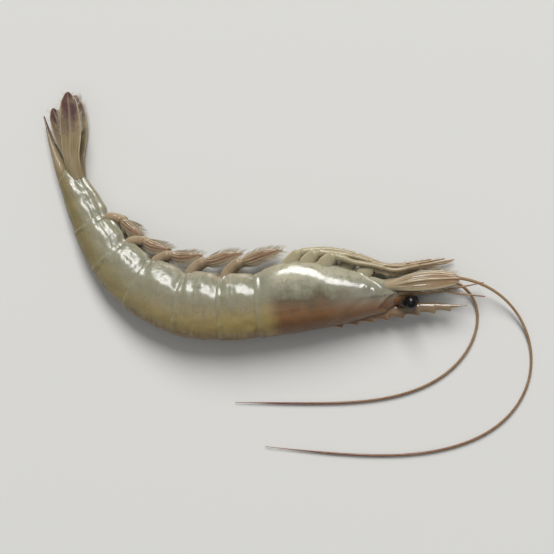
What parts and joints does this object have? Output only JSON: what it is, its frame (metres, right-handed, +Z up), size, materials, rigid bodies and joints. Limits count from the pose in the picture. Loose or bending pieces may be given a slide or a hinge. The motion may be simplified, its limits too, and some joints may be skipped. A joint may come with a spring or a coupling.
{
  "type": "raw prawn",
  "caption": "Raw whole prawn lying on its side with its tail curled: ringed shell, toothed rostrum, stalked eyes, folded legs, swimmerets, tail fan and long curling feelers.",
  "frame": {"origin": "middle of the bounding box, on the surface that the prawn lies on", "axes": "+X towards the head, +Y towards the side that the tail curls to, +Z up out of the left flank"},
  "size_m": [0.1116, 0.0828, 0.0125],
  "materials": {
    "shell": "wet translucent grey-olive shell, orange-brown on the head",
    "ring_shell": "wet translucent grey-green to olive shell",
    "tail": "wet brown to purple-brown tail blades with pale edges",
    "limb": "damp pale cream-olive legs and scales",
    "swimmeret": "damp pinkish-tan paddles",
    "feeler": "reddish-brown feelers",
    "eye": "wet black eye"
  },
  "bodies": {
    "root": {"head_shell": "shell", "telson": "tail", "abdomen_ring_1": "ring_shell", "abdomen_ring_2": "ring_shell", "abdomen_ring_3": "ring_shell", "abdomen_ring_4": "ring_shell", "abdomen_ring_5": "ring_shell", "abdomen_ring_6": "ring_shell", "tail_blade_inner_left": "tail", "tail_blade_outer_left": "tail", "eye_left": "eye", "antennal_scale_left": "limb", "short_feeler_left": "feeler", "long_feeler_left": "feeler", "mouth_leg_left": "limb", "walking_leg_1_left": "limb", "walking_leg_2_left": "limb", "walking_leg_3_left": "limb", "walking_leg_4_left": "limb", "walking_leg_5_left": "limb", "swimmeret_1_left": "swimmeret", "swimmeret_2_left": "swimmeret", "swimmeret_3_left": "swimmeret", "swimmeret_4_left": "swimmeret", "swimmeret_5_left": "swimmeret", "tail_blade_inner_right": "tail", "tail_blade_outer_right": "tail", "eye_right": "eye", "antennal_scale_right": "limb", "short_feeler_right": "feeler", "long_feeler_right": "feeler", "mouth_leg_right": "limb", "walking_leg_1_right": "limb", "walking_leg_2_right": "limb", "walking_leg_3_right": "limb", "walking_leg_4_right": "limb", "walking_leg_5_right": "limb", "swimmeret_1_right": "swimmeret", "swimmeret_2_right": "swimmeret", "swimmeret_3_right": "swimmeret", "swimmeret_4_right": "swimmeret", "swimmeret_5_right": "swimmeret"}
  },
  "joints": []
}
